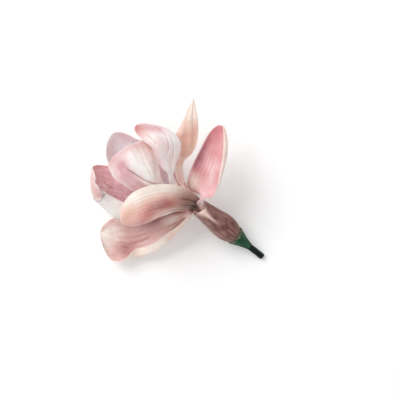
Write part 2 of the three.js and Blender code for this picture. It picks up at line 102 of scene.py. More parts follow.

# The petals. t runs from 0 at the claw to 1 at the tip, and s from -1 to 1 across.
# azimuth: where the claw stands round the axis, in degrees.
# rib: the middle line past the mouth. looks: the ways that the inner side looks, at look_at's t.
# half_width, neck, widest, blunt, tip, least: the outline, as half_widths says.
# lopsided: the share by which the right side is wider and the left narrower. trimmed: from which t
# to which t the left side gives that share up.
# cup: degrees that the cross-section turns from its rib to its edge, at mid length and at the tip.
# roll_right, roll_left: how far that edge rolls in, in degrees, and from which s to which s.
# roll_rises, roll_fades: from which t to which t it starts and ends.
# waves: height, count and phase of the margin's waves.
# creases: t and s of both ends, width, and depth, which is below 0 towards the inner side.
# tones: of the inner and the outer side. inner_washes, outer_washes: pigments, painted shade and
# painted light laid over them, each with its t and s, its reach along and across, and its
# strength.
PETALS = {
    "outer_right": dict(
        node="outer_tepal_right", whorl="outer", azimuth=44,
        rib=[(22, -9.5, 40), (29.5, 4, 44), (35, 22, 46), (39, 46.5, 46)],
        looks=[(-0.35, -0.1, 0.9), (-0.4, 0, 0.9)], look_at=(0.2, 0.5, 1),
        half_width=17.5, neck=0.16, widest=0.56, blunt=2.3, tip=0.5,
        cup=(28, 30), roll_right=(150, 0.5, 0.95), roll_rises=(0.3, 0.75),
        waves=(0.5, 2.2, 0.1), skin="rose",
        tones=("#e8b6b9", "#f2ded6"),
        inner_washes=[
            ("wine", 0.72, -0.95, 0.24, 0.42, 0.9),
            ("wine", 0.98, -0.7, 0.08, 0.6, 0.3),
            ("blush", 0.62, 0.1, 0.16, 0.25, 0.35),
            ("rose", 0.6, 0.6, 0.1, 0.3, 0.3),
            ("rose", 1.0, -0.2, 0.12, 0.9, 0.7),
            ("rose", 0.85, 0.1, 0.1, 0.4, 0.25),
            ("blush", 0.55, 0.2, 0.14, 0.35, 0.5),
            ("cream", 0.44, -0.65, 0.1, 0.4, 0.85),
            # painted shade: olive dark at the claw's left edge, deep between this petal and the
            # tall one
            ("olive", 0.4, -1.0, 0.05, 0.25, 0.6),
            ("blush", 0.32, -0.6, 0.08, 1.2, 0.9),
        ],
        outer_washes=[
            ("peach", 0.98, 0.9, 0.08, 0.5, 0.35),
            ("blush", 0.25, 0.0, 0.13, 1.8, 0.95),
            ("peach", 0.25, 0.0, 0.13, 1.8, 0.3),
            # painted shade: near-black umber at the claw's edge, the deep of the mouth
            ("umber", 0.24, 1.1, 0.08, 0.32, 0.9),
        ],
    ),
    "outer_low": dict(
        node="outer_tepal_low", whorl="outer", azimuth=272,
        rib=[(8, -31, 29), (-13, -41, 10), (-39, -50, 0.4), (-67, -46.5, 9)],
        looks=[(-0.05, 0.25, 0.95), (0.3, 0.1, 0.95)], look_at=(0.15, 0.5, 1),
        half_width=29.5, neck=0.27, widest=0.7, blunt=2.2, tip=0.5, lopsided=-0.17,
        cup=(18, 26), roll_left=(175, 0.45, 0.85), roll_fades=(0.75, 0.95),
        waves=(0.8, 2.6, 0.4), skin="dusk",
        creases=[
            (0.36, 0.0, 0.62, 0.2, 1.6, -1.5),
            (0.36, -0.25, 0.6, -0.08, 1.1, 1.0),
            (0.38, 0.35, 0.62, 0.45, 1.1, 1.0),
            (0.7, 0.5, 0.98, 0.25, 2.2, -0.5),
            (0.66, -0.1, 0.9, -0.3, 1.8, 0.5),
            (0.93, -0.05, 0.64, 0.02, 0.7, 0.6),
            (0.92, -0.22, 0.66, -0.12, 0.6, 0.7),
            (0.9, -0.36, 0.66, -0.25, 0.6, 0.6),
        ],
        tones=("#f7d7d3", "#fde6dc"),
        inner_washes=[
            ("cream", 1.0, -0.1, 0.12, 0.9, 0.8),
            # painted shadow: the front petal's shadow on this petal
            ("wine", 0.61, 0.38, 0.11, 0.32, 0.95),
            ("wine", 0.83, -0.45, 0.08, 0.3, 0.6),
            ("rose", 0.75, -0.2, 0.1, 0.4, 0.2),
            ("cream", 0.49, 0.12, 0.1, 0.22, 1.0),
            # painted shade: a dark line inside the rolled edge
            ("umber", 0.47, -0.26, 0.1, 0.09, 0.5),
            # painted shade beside the claw's ridge
            ("wine", 0.48, 0.42, 0.08, 0.1, 0.5),
            ("blush", 0.36, -0.3, 0.07, 0.6, 0.6),
            # painted shade beside the claw's ridge
            ("russet", 0.43, -0.05, 0.03, 0.2, 0.3),
        ],
        outer_washes=[
            ("peach", 0.45, -0.9, 0.1, 0.3, 0.35),
        ],
    ),
    "outer_under": dict(
        node="outer_tepal_under", whorl="outer", azimuth=168,
        rib=[(7, -13, 19), (-9, 8, 4), (-19, 27, 0.4), (-26, 41, 8)],
        looks=[(0.1, -0.1, 1), (0.4, -0.4, 0.8)], look_at=(0.15, 0.5, 1),
        half_width=14, neck=0.3, widest=0.72, blunt=2.2, tip=0.5,
        cup=(40, 45),
        waves=(0.5, 2.0, 0.2), skin="dusk",
        tones=("#e0bab8", "#ebcfc7"),
    ),
    "middle_tall": dict(
        node="middle_tepal_tall", whorl="middle", azimuth=125,
        rib=[(8, -6.5, 31.5), (3, 15, 34), (11.5, 39, 38), (15.5, 70, 42)],
        looks=[(-0.4, -0.5, -0.75), (-0.25, -0.1, -0.9)], look_at=(0.3, 0.55, 1),
        half_width=11.5, neck=0.54, widest=0.73, blunt=1.5, tip=1, lopsided=0.1, least=1.2,
        cup=(35, 24),
        waves=(0.5, 2.4, 0.3), skin="peach",
        tones=("#e2c3b7", "#f9dacd"),
        outer_washes=[
            ("cream", 1.0, 0.0, 0.13, 1.5, 0.7),
            ("fawn", 0.7, -0.1, 0.07, 0.9, 0.25),
            ("fawn", 0.82, 0.0, 0.07, 1.0, 0.25),
            ("fawn", 0.8, 0.2, 0.08, 0.6, 0.3),
            ("blush", 0.48, 0.3, 0.12, 1.0, 0.6),
            ("peach", 0.54, 0.3, 0.12, 1.0, 0.3),
        ],
    ),
    "middle_left": dict(
        node="middle_tepal_left", whorl="middle", azimuth=230,
        rib=[(3, -21.5, 27), (-25, -18.5, 13), (-54, -12, 10), (-73.5, -5, 22), (-69, -2, 35)],
        looks=[(0, 0.1, 1), (0.95, 0.2, 0.2)], look_at=(0.15, 0.45, 1),
        half_width=36, neck=0.26, widest=0.6, blunt=2.4, tip=0.55, lopsided=-0.35,
        cup=(30, 28), roll_left=(165, 0.28, 0.8), roll_fades=(0.85, 1.05), trimmed=(0.62, 0.86),
        waves=(0.7, 2.6, 0.0), skin="net",
        tones=("#f5d6da", "#fff2eb"),
        creases=[(0.79, 0.32, 0.66, 0.06, 0.5, 0.9)],
        inner_washes=[
            ("peach", 0.86, 0.6, 0.07, 0.5, 0.4),
            ("mauve", 0.6, 0.1, 0.09, 0.4, 0.35),
            ("blush", 0.72, 0.1, 0.07, 0.3, 0.5),
        ],
        outer_washes=[
            ("rose", 0.97, 0.2, 0.12, 1.2, 0.6),
            ("cream", 0.6, -0.9, 0.15, 0.3, 0.6),
        ],
    ),
    "middle_front": dict(
        node="middle_tepal_front", whorl="middle", azimuth=350,
        rib=[(12, -19.5, 43), (-8, -19, 55), (-28, -25, 61), (-45.5, -36, 52)],
        looks=[(0, 0.35, -0.9), (0.3, 0.3, -0.9)], look_at=(0.15, 0.5, 1),
        half_width=16, neck=0.12, widest=0.7, blunt=3.2, tip=0.5, lopsided=-0.05,
        cup=(45, 40),
        waves=(0.6, 2.2, 0.2), skin="cream",
        creases=[
            (0.24, -0.4, 0.54, -0.2, 0.9, -1.0),
            (0.24, 0.1, 0.5, 0.22, 0.8, -1.0),
            (0.3, -0.1, 0.5, 0.0, 0.9, 0.8),
            (0.34, 0.55, 0.56, 0.6, 0.7, -0.7),
            (0.56, 0.35, 0.78, 0.2, 1.4, -0.4),
        ],
        tones=("#e3c3bb", "#f3d2c6"),
        outer_washes=[
            # painted light: these two make the upper side, which faces the lamp, paler
            ("cream", 0.74, -0.75, 0.17, 0.45, 0.95),
            ("cream", 0.56, -0.85, 0.1, 0.35, 0.85),
            ("peach", 0.9, -0.2, 0.08, 0.5, 0.2),
            ("rose", 0.76, 0.35, 0.1, 0.4, 0.6),
            # painted shade: the lower side, which curves away from the lamp, is red-brown
            ("russet", 0.61, 0.15, 0.11, 0.45, 0.95),
            # painted shadow along the lower edge, over the low petal
            ("russet", 0.55, 0.95, 0.14, 0.14, 0.6),
            ("rose", 0.88, 0.75, 0.1, 0.35, 0.6),
            ("bark", 0.43, 0.0, 0.1, 1.2, 0.85),
            # painted shadow along the lower edge, over the low petal
            ("umber", 0.38, 1.0, 0.1, 0.14, 0.7),
            # painted shade: the claw darkens where it goes into the mouth
            ("umber", 0.3, 0.1, 0.1, 1.4, 0.97),
        ],
    ),
    "inner_right": dict(
        node="inner_tepal_right", whorl="inner", azimuth=65,
        rib=[(-1, -5, 46), (-4, 11, 57), (-10, 33, 64), (-33, 46, 55)],
        looks=[(-0.35, -0.3, -0.88), (-0.5, -0.3, -0.8)], look_at=(0.15, 0.5, 1),
        half_width=15.5, neck=0.5, widest=0.74, blunt=2.6, tip=0.55, lopsided=-0.2,
        cup=(40, 40),
        waves=(0.6, 2.6, 0.5), skin="blush",
        tones=("#e6c6c9", "#fff1ef"),
        outer_washes=[
            ("rose", 1.0, 0.4, 0.08, 0.9, 0.95),
            ("mauve", 1.0, 0.7, 0.05, 0.6, 0.5),
            ("fawn", 1.0, 0.5, 0.07, 0.9, 0.5),
            ("mauve", 0.9, -0.5, 0.07, 0.5, 0.7),
            # painted shade along the left margin, where it overlaps the front inner petal
            ("mauve", 0.74, 0.95, 0.2, 0.25, 0.5),
            ("mauve", 0.76, 0.05, 0.08, 0.3, 0.15),
        ],
        creases=[
            (0.94, -0.75, 0.66, 0.12, 0.7, -0.9),
            (0.84, -0.55, 0.62, -0.35, 0.8, -0.6),
            (0.93, 0.35, 0.78, 0.55, 1.4, -0.6),
        ],
    ),
    "inner_front": dict(
        node="inner_tepal_front", whorl="inner", azimuth=317,
        rib=[(-5, -14, 43), (-21, -3, 53), (-31.5, 12.5, 56), (-40, 28.7, 50)],
        looks=[(0, 0, -1), (0.3, -0.6, -0.8)], look_at=(0.15, 0.5, 1),
        half_width=26, neck=0.27, widest=0.94, blunt=5, tip=0.3, lopsided=0.06,
        cup=(45, 50),
        waves=(0.6, 2.8, 0.8), skin="blush",
        tones=("#e8c8cc", "#fdf1ed"),
        outer_washes=[
            ("mauve", 0.86, 0.5, 0.08, 0.25, 0.85),
            ("mauve", 0.76, 0.42, 0.08, 0.18, 0.5),
            ("mauve", 0.66, 0.38, 0.08, 0.16, 0.5),
            ("mauve", 0.99, -0.2, 0.06, 0.9, 0.4),
            ("rose", 0.98, 0.75, 0.05, 0.4, 0.4),
            ("mauve", 0.72, 0.75, 0.14, 0.3, 0.75),
            ("fawn", 0.93, -0.7, 0.1, 0.3, 0.45),
            ("cream", 0.6, -0.45, 0.12, 0.4, 0.9),
        ],
        creases=[
            (0.88, 0.45, 0.5, 0.1, 0.8, -2.2),
            (0.86, 0.62, 0.56, 0.35, 2.2, 0.9),
            (0.84, -0.2, 0.62, -0.3, 0.8, -0.5),
            (0.95, 0.35, 0.75, 0.3, 1.6, 0.5),
        ],
    ),
    "inner_back": dict(
        node="inner_tepal_back", whorl="inner", azimuth=200,
        rib=[(2, -11.5, 33), (-24, 12, 22), (-45, 25, 28), (-55.5, 38.5, 38.5)],
        looks=[(0.1, -0.1, 1), (0.5, -0.5, 0.7)], look_at=(0.15, 0.5, 1),
        half_width=20.5, neck=0.35, widest=0.66, blunt=2.2, tip=0.5,
        cup=(40, 45),
        waves=(0.6, 2.4, 0.6), skin="mist",
        tones=("#fff0f3", "#ecd3d3"),
        inner_washes=[
            ("mauve", 0.9, 0.8, 0.1, 0.3, 0.2),
        ],
    ),
}

# ---- the bloom's axis ----------------------------------------------------------------------

AXIS = np.array([
    math.cos(HEADING) * math.cos(RISE),
    math.sin(HEADING) * math.cos(RISE),
    math.sin(RISE),
])
SIDE = np.array([math.sin(HEADING), -math.cos(HEADING), 0.0])
UPPER = np.cross(SIDE, AXIS)


def outward(azimuth):
    """Unit vectors away from the axis: the upper way times the azimuth's cosine plus the side way
    times its sine. Azimuths are in radians, one or a whole array."""
    azimuth = np.asarray(azimuth, float)[..., None]
    return np.cos(azimuth) * UPPER + np.sin(azimuth) * SIDE


def on_axis(height, azimuth, radius):
    """Places by height above the mouth, azimuth and distance from the axis, as whole arrays."""
    height, azimuth, radius = np.broadcast_arrays(height, azimuth, radius)
    return MOUTH + height[..., None] * AXIS + radius[..., None] * outward(azimuth)


def linear(code):
    """A hex sRGB colour as linear red, green, blue and full alpha."""
    values = np.array([int(code[i:i + 2], 16) for i in (1, 3, 5)]) / 255
    values = np.where(values <= 0.04045, values / 12.92, ((values + 0.055) / 1.055) ** 2.4)
    return (*values.tolist(), 1.0)


def smooth(x):
    """0 below 0, 1 above 1, and the soft step 3x^2 - 2x^3 between."""
    x = np.clip(x, 0, 1)
    return x * x * (3 - 2 * x)


def catmull_rom(points, t):
    """The smooth curve through the points: in each span the cubic whose slope at a point is half
    the chord between its neighbours, with the missing neighbour at an end mirrored. Gives the
    places and the unit directions at every t of an array from 0 to 1."""
    points = np.asarray(points, float)
    padded = np.vstack([2 * points[:1] - points[1:2], points, 2 * points[-1:] - points[-2:-1]])
    spans = len(points) - 1
    span = np.minimum((t * spans).astype(int), spans - 1)
    u = (t * spans - span)[:, None]
    before, start, end, after = (padded[span + k] for k in range(4))
    leave, arrive = (end - before) / 2, (after - start) / 2
    cubic = 2 * start - 2 * end + leave + arrive
    square = 3 * end - 3 * start - 2 * leave - arrive
    place = ((cubic * u + square) * u + leave) * u + start
    way = (3 * cubic * u + 2 * square) * u + leave
    return place, way / np.linalg.norm(way, axis=1, keepdims=True)


def curve_through(pairs, x):
    """A smooth value at each x through (place, value) pairs, by the same curve."""
    pairs = np.asarray(pairs, float)
    t = np.interp(x, pairs[:, 0], np.linspace(0, 1, len(pairs)))
    return catmull_rom(pairs, t)[0][:, 1]


# ---- petals --------------------------------------------------------------------------------


def half_widths(petal, claw, t):
    """Half the width along a petal: the claw's, widening by the soft step from the neck to the
    widest place, then falling as (1 - x^blunt)^tip to the rounded tip. It never gets below the
    least one, which halves over the last 3% of the length."""
    rise = claw + (petal["half_width"] - claw) * smooth(
        (t - petal["neck"]) / (petal["widest"] - petal["neck"]))
    x = np.clip((t - petal["widest"]) / (1 - petal["widest"]), 0, 1)
    fall = petal["half_width"] * (1 - x ** petal["blunt"]) ** petal["tip"]
    least = petal.get("least", MIN_HALF_WIDTH) * (1 - 0.5 * smooth((t - 0.97) / 0.03))
    return np.maximum(np.where(t < petal["widest"], rise, fall), np.maximum(least, MIN_HALF_WIDTH))


def inner_ways(petal, t):
    """The way the inner side looks along a petal: towards the axis at the claw, and blended by the
    soft step from one stated way to the next."""
    root = -outward(math.radians(petal["azimuth"]))
    stated = [np.array(way) / np.linalg.norm(way) for way in petal["looks"]]
    ways = np.array([root, root, *stated])
    places = np.array([0, *petal["look_at"]])
    i = np.clip(np.searchsorted(places, t, side="left") - 1, 0, len(places) - 2)
    part = smooth((t - places[i]) / (places[i + 1] - places[i]))[:, None]
    return ways[i] * (1 - part) + ways[i + 1] * part


def cross_sections(petal, t, s):
    """Each row's cross-section: the slope grows from the rib to both edges, by the claw's arc low
    down and the open cup further up, plus the roll of an edge, and the section is the running sum
    of the slope's cosine (across) and sine (towards the inner side)."""
    fine = np.linspace(-1, 1, CROSS_STEPS + 1)
    opening = smooth((t - OPENS_FROM) / OPENS_OVER)[:, None]
    rise_from, rise_to = petal.get("roll_rises", ROLL_RISES)
    fade_from, fade_to = petal.get("roll_fades", PAST_TIP)
    rolling = smooth((t - rise_from) / (rise_to - rise_from))
    rolling = rolling * (1 - smooth((t - fade_from) / (fade_to - fade_from)))
    rolling = rolling[:, None]
    mid_cup, tip_cup = petal["cup"]
    open_cup = mid_cup + (tip_cup - mid_cup) * np.clip(2 * t - 1, 0, 1)[:, None]
    slope = (CLAW_ARC[petal["whorl"]] * (1 - opening) + open_cup * opening) * fine
    for key, sign in (("roll_right", 1), ("roll_left", -1)):
        angle, start, end = petal.get(key, (0, 0, 1))
        reached = np.clip((sign * fine - start) / (end - start), 0, 1)
        slope = slope + sign * angle * rolling * reached ** ROLL_POWER
    slope = np.radians(slope)
    step = fine[1] - fine[0]
    sums = []
    for part in (np.cos(slope), np.sin(slope)):
        running = np.cumsum((part[:, 1:] + part[:, :-1]) / 2 * step, axis=1)
        running = np.hstack([np.zeros((len(t), 1)), running])
        running -= running[:, CROSS_STEPS // 2][:, None]
        sums.append(running[:, np.round((s + 1) / 2 * CROSS_STEPS).astype(int)])
    return sums


def hold_in_tube(places, ring, t):
    """Claws keep to their whorl's ring inside the tube: the distance from the axis is the ring's,
    and goes over to the free one by the soft step past the mouth."""
    offset = places - MOUTH
    height = offset @ AXIS
    offset = offset - height[..., None] * AXIS
    radius = np.linalg.norm(offset, axis=2)
    free = smooth((t - HELD_TO) / (FREE_FROM - HELD_TO))[:, None]
    wanted = ring + (radius - ring) * free
    return MOUTH + height[..., None] * AXIS + offset * (wanted / radius)[..., None]


def petal_sheet(petal, t, s):
    """The surface halfway through a petal's blade, rows along t and columns across s: each place
    of the rib, plus the cross-section times the half-width, its one part across the petal and its
    other towards the inner side. Gives the places and each row's half-width."""
    ring = RING[petal["whorl"]]
    claw = ring * math.radians(CLAW_ARC[petal["whorl"]])
    azimuth = math.radians(petal["azimuth"])
    rib = [
        on_axis(-CLAW_DEPTH, azimuth, ring),
        on_axis(0, azimuth, ring + GAP),
        *(np.array(point) + TO_MIDDLE for point in petal["rib"]),
    ]
    place, forward = catmull_rom(rib, t)
    inner = inner_ways(petal, t)
    inner -= (inner * forward).sum(1, keepdims=True) * forward
    inner /= np.linalg.norm(inner, axis=1, keepdims=True)
    across = np.cross(forward, inner)
    over, into = cross_sections(petal, t, s)
    trim_from, trim_to = petal.get("trimmed", PAST_TIP)
    left = 1 - smooth((t - trim_from) / (trim_to - trim_from))
    lopsided = petal.get("lopsided", 0) * smooth((t - LOPSIDED_FROM) / LOPSIDED_OVER)
    lopsided = lopsided[:, None] * np.where(s < 0, left[:, None], 1.0)
    width = half_widths(petal, claw, t)[:, None]
    reach = width * (1 + lopsided * s)
    sheet = (place[:, None] + (over * reach)[..., None] * across[:, None]
             + (into * reach)[..., None] * inner[:, None])
    return hold_in_tube(sheet, ring, t), width


def sheet_normals(sheet):
    """Unit normals towards the outer side: the cross product of the steps along and across."""
    normals = np.cross(np.gradient(sheet, axis=0), np.gradient(sheet, axis=1))
    return normals / np.maximum(np.linalg.norm(normals, axis=2, keepdims=True), 1e-9)


def crease_bells(petal, t, s, width, length):
    """Each crease's depth and its bell over the sheet: 1 on the crease's line, falling beside it
    as the stated width says, and nothing past its two ends."""
    bells = []
    for t0, s0, t1, s1, wide, depth in petal.get("creases", ()):
        along_mm, over_mm = (t[:, None] - t0) * length, (s[None] - s0) * width
        line_t, line_s = (t1 - t0) * length, (s1 - s0) * petal["half_width"]
        reach = math.hypot(line_t, line_s)
        part = (along_mm * line_t + over_mm * line_s) / reach ** 2
        off = (along_mm * line_s - over_mm * line_t) / reach
        fade = smooth(part / CREASE_FADE) * smooth((1 - part) / CREASE_FADE)
        bells.append((depth, fade * np.exp(-(off / wide) ** 2)))
    return bells


def relief(petal, t, s, width, length, rng):
    """How far the blade stands out of its even form, towards the outer side: waves of the margin
    that grow with the cube of s, shallow pleats along the petal, a groove along the rib, soft
    buckles from a few crossing cosines with random phases, and the creases."""
    grid_t, grid_s = t[:, None], s[None]
    opened = smooth((grid_t - RELIEF_FROM) / RELIEF_OVER)
    height, count, phase = petal["waves"]
    turn = 2 * np.pi * (count * grid_t + phase + 0.25 * np.sign(grid_s))
    rise = height * np.abs(grid_s) ** 3 * np.sin(turn)
    turn = 2 * np.pi * PLEATS * grid_s + 1.5 * np.sin(3 * grid_t)
    pleat = PLEAT_HEIGHT * np.cos(turn) * (1 - grid_s ** 4)
    rise = rise + pleat * (width / petal["half_width"]) ** 2
    groove = GROOVE_DEPTH * np.exp(-(grid_s * width / GROOVE_REACH) ** 2)
    rise = rise - groove * (1 - grid_t) ** 2
    for _ in range(BUCKLES):
        along, over = rng.uniform(1.0, 3.2), rng.uniform(-1.3, 1.3)
        turn = 2 * np.pi * (along * grid_t + over * grid_s + rng.uniform())
        rise = rise + BUCKLE_HEIGHT * np.cos(turn)
    rise = rise * opened * smooth(width / FULL_RELIEF_HALF_WIDTH)
    return rise + sum(depth * bell for depth, bell in crease_bells(petal, t, s, width, length))


def blade_faces(rows, columns):
    """Quads of a closed blade: one grid for the outer side, one turned over for the inner side,
    and a strip round the rim that joins them."""
    index = np.arange(rows * columns).reshape(rows, columns)
    near, far = index[:-1, :-1], index[1:, 1:]
    outer = np.stack([near, index[1:, :-1], far, index[:-1, 1:]], -1).reshape(-1, 4)
    inner = outer[:, ::-1] + rows * columns
    rim = np.concatenate([index[:, 0], index[-1, 1:], index[-2::-1, -1], index[0, -2:0:-1]])
    after = np.roll(rim, -1)
    strip = np.stack([after, rim, rim + rows * columns, after + rows * columns], -1)
    return np.concatenate([outer, inner, strip]).tolist()


def painted(petal, side, t, s, width, length):
    """One side's colour over the whole sheet: its tone, the tan of the claw, and each wash laid
    over them by a bell with the stated reach along and across, some of them painted shade and
    painted light. Along each crease that is a valley on this side, the crease tint, partly a
    bruise and partly painted shade, multiplies it, by the crease's bell cubed for a thin line."""
    tone = petal["tones"][0 if side == "inner" else 1]
    colour = np.broadcast_to(linear(tone), (len(t), len(s), 4))
    tan = 1 - smooth((t - CLAW_TONE_TO) / CLAW_TONE_FADE)
    layers = [(CLAW_TONE, tan[:, None] * np.ones(len(s)))]
    for pigment_and_shade, at_t, at_s, along, over, strength in petal.get(side + "_washes", ()):
        far = ((t[:, None] - at_t) / along) ** 2 + ((s[None] - at_s) / over) ** 2
        layers.append((PIGMENT_AND_SHADE_TONES[pigment_and_shade], strength * np.exp(-far)))
    for tone, weight in layers:
        colour = colour + weight[..., None] * (np.array(linear(tone)) - colour)
    # Painted shade, together with the bruise: each valley crease darkens the colour.
    for depth, bell in crease_bells(petal, t, s, width, length):
        if (depth < 0) == (side == "outer"):
            bruise_and_shade = min(BRUISE_AND_SHADE * abs(depth), MOST_BRUISE_AND_SHADE) * bell ** 3
            colour = colour * (1 - bruise_and_shade[..., None] * (1 - np.array(linear(CREASE_TINT))))
    return colour.reshape(-1, 4)


def petal_mesh(name, petal):
    """A closed petal: the relief lifts the sheet along its normals, half the blade's thickness
    goes to each side, and near the rim that half shrinks as a quarter of an ellipse. Nothing goes
    below the surface that the bloom lies on. Gives places, faces, masks and UVs, which keep the
    width of the widest place down to the claw, so that the veins draw together there."""
    x, y = np.linspace(0, 1, ROWS), np.linspace(-1, 1, COLUMNS)
    t = (1 - ROW_BUNCHING) * x + ROW_BUNCHING * np.sin(np.pi * x / 2)
    s = (1 - COLUMN_BUNCHING) * y + COLUMN_BUNCHING * np.sin(np.pi * y / 2)
    rng = np.random.default_rng(SEED + sorted(PETALS).index(name))
    sheet, width = petal_sheet(petal, t, s)
    rib = sheet[:, COLUMNS // 2]
    along = np.concatenate([[0], np.cumsum(np.linalg.norm(np.diff(rib, axis=0), axis=1))])
    sheet = sheet + relief(petal, t, s, width, along[-1], rng)[..., None] * sheet_normals(sheet)
    normals = sheet_normals(sheet)
    margin = np.minimum((1 - np.abs(s)) * width, (along[-1] - along)[:, None])
    thin = 1 - np.clip(margin / RIM_TAPER, 0, 1)
    half = RIM_HALF + (BLADE / 2 - RIM_HALF) * np.sqrt(1 - thin ** 2)
    outer = sheet + half[..., None] * normals
    inner = sheet - half[..., None] * normals
    places = np.concatenate([outer.reshape(-1, 3), inner.reshape(-1, 3)])
    places[:, 2] = np.maximum(places[:, 2], 0)
    spread = np.where(t[:, None] < petal["widest"], petal["half_width"], width)
    uv = np.stack(np.broadcast_arrays(
        s * spread / UV_SPAN + 0.5, along[:, None] / UV_SPAN), -1).reshape(-1, 2)
    colours = [painted(petal, side, t, s, width, along[-1]) for side in ("outer", "inner")]
    masks = {
        "inner_side": np.repeat([0.0, 1.0], ROWS * COLUMNS),
        "margin": np.tile(margin.ravel(), 2),
        "along": np.tile(np.repeat(t, COLUMNS), 2),
        "breadth": np.tile(np.repeat(width.ravel(), COLUMNS), 2),
        "pigment_and_shade": np.concatenate(colours),
    }
    return places, blade_faces(ROWS, COLUMNS), masks, np.tile(uv, (2, 1))


# ---- solids turned about the axis ------------------------------------------------------------


def ring_faces(rows, columns):
    """Quads between closed rings, and fans to the two poles that follow the rings' vertices."""
    index = np.arange(rows * columns).reshape(rows, columns)
    after = np.roll(index, -1, axis=1)
    quads = np.stack([index[:-1], after[:-1], after[1:], index[1:]], -1).reshape(-1, 4)
    first, last = rows * columns, rows * columns + 1
    start = np.stack([after[0], index[0], np.full(columns, first)], -1)
    end = np.stack([index[-1], after[-1], np.full(columns, last)], -1)
    return quads.tolist() + start.tolist() + end.tolist()


def close_rings(rings):
    """Adds a pole at the middle of the first and of the last ring to a stack of rings."""
    poles = np.stack([rings[0].mean(0), rings[-1].mean(0)])
    return np.concatenate([rings.reshape(-1, 3), poles])


def add_piece(name, places, faces, skin, node, masks, uv):
    """Makes one named piece from whole arrays, in metres, with smooth shading, point masks and
    UVs, turned the right way out, riding on the root body and standing for its node."""
    places = places * MM
    mesh = bpy.data.meshes.new(name)
    mesh.from_pydata(places.tolist(), [], faces)
    triangles = np.array([(f[0], f[i], f[i + 1]) for f in faces for i in range(1, len(f) - 1)])
    a, b, c = (places[triangles[:, k]] for k in range(3))
    if (a * np.cross(b, c)).sum() < 0:
        mesh.flip_normals()
    mesh.polygons.foreach_set("use_smooth", np.ones(len(mesh.polygons), bool))
    for key, values in masks.items():
        values = np.asarray(values, np.float32)
        kind, field = ("FLOAT", "value") if values.ndim == 1 else ("FLOAT_COLOR", "color")
        attribute = mesh.attributes.new(key, kind, "POINT")
        attribute.data.foreach_set(field, values.ravel())
    corners = np.empty(len(mesh.loops), np.int32)
    mesh.loops.foreach_get("vertex_index", corners)
    layer = mesh.uv_layers.new(name="UVMap")
    layer.data.foreach_set("uv", np.asarray(uv, np.float32)[corners].ravel())
    mesh.materials.append(skin)
    piece = bpy.data.objects.new(name, mesh)
    bpy.context.scene.collection.objects.link(piece)
    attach(piece, "root")
    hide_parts(node)


# ---- materials -------------------------------------------------------------------------------


def add(tree, kind, inputs=(), **settings):
    """Adds a shader node, sets its properties, and fills its sockets with values or links."""
    node = tree.nodes.new("ShaderNode" + kind)
    for key, value in settings.items():
        setattr(node, key, value)
    for key, value in dict(inputs).items():
        if isinstance(value, bpy.types.NodeSocket):
            tree.links.new(value, node.inputs[key])
        else:
            node.inputs[key].default_value = value
    return node


MIX_FACTOR, MIX_A, MIX_B, MIX_RESULT = 0, 6, 7, 2  # a colour Mix node's sockets


def mixed(tree, factor, a, b):
    """The colour between a and b at a factor; colours are hex codes or sockets."""
    a, b = (linear(c) if isinstance(c, str) else c for c in (a, b))
    node = add(tree, "Mix", {MIX_FACTOR: factor, MIX_A: a, MIX_B: b}, data_type="RGBA")
    return node.outputs[MIX_RESULT]


def worked(tree, operation, a, b=0.0, clamp=False):
    """One arithmetic step on sockets or numbers."""
    return add(tree, "Math", {0: a, 1: b}, operation=operation, use_clamp=clamp).outputs[0]


def ranged(tree, value, low, high, to_low=0.0, to_high=1.0):
    """A value mapped from one range to another by the soft step, and kept inside it."""
    limits = {"From Min": low, "From Max": high, "To Min": to_low, "To Max": to_high}
    node = add(tree, "MapRange", {"Value": value, **limits}, interpolation_type="SMOOTHSTEP")
    return node.outputs[0]


def mask(tree, name):
    """A piece's own point mask."""
    return add(tree, "Attribute", attribute_name=name).outputs["Fac"]


def noise(tree, place, scale, detail, roughness=0.5, distortion=0.0):
    """Noise from 0 to 1, about 0.5 on average, with so many patches to a unit of the place."""
    return add(tree, "TexNoise", {"Vector": place, "Scale": scale, "Detail": detail,
                                  "Roughness": roughness, "Distortion": distortion}).outputs[0]


def shaded(tree, colour, saturation, value):
    """A colour with its saturation and its brightness multiplied."""
    return add(tree, "HueSaturation", {
        "Saturation": saturation, "Value": value, "Color": colour}).outputs[0]


def new_material(name):
    """An empty node material with its output."""
    material = bpy.data.materials.new(name)
    material.use_nodes = True
    material.node_tree.nodes.clear()
    return material, material.node_tree, add(material.node_tree, "OutputMaterial")


# Petal skins: the veins' tone, how strongly they show on the outer and on the inner side, and how
# strongly the net between them does.
SKINS = {
    "rose": ("#a4525c", 0.05, 0.2, 0.6),
    "dusk": ("#9a5a63", 0.05, 0.24, 0.5),
    "net": ("#a9586a", 0.02, 0.5, 1.0),
    "mist": ("#c98f99", 0.05, 0.15, 0.4),
    "blush": ("#c48892", 0.1, 0.2, 0.4),
    "cream": ("#b47a70", 0.07, 0.2, 0.3),
    "peach": ("#b07b68", 0.1, 0.2, 0.3),
}
RIM_TONE = "#fdf0ea"
BLOTCH, CLOUD, GRAIN = 16 * MM, 5 * MM, 0.5 * MM  # sizes of a petal's patches, and of its grain
TISSUE_BLOTCH = 7 * MM
VEIN_SPACING = 2.8  # millimetres between the veins that run along a petal
NET_CELL = 3.2  # the net between them; a real one is finer, and is drawn as coarse as shows
NET_BEND = 7  # millimetres over which the net's lines wander


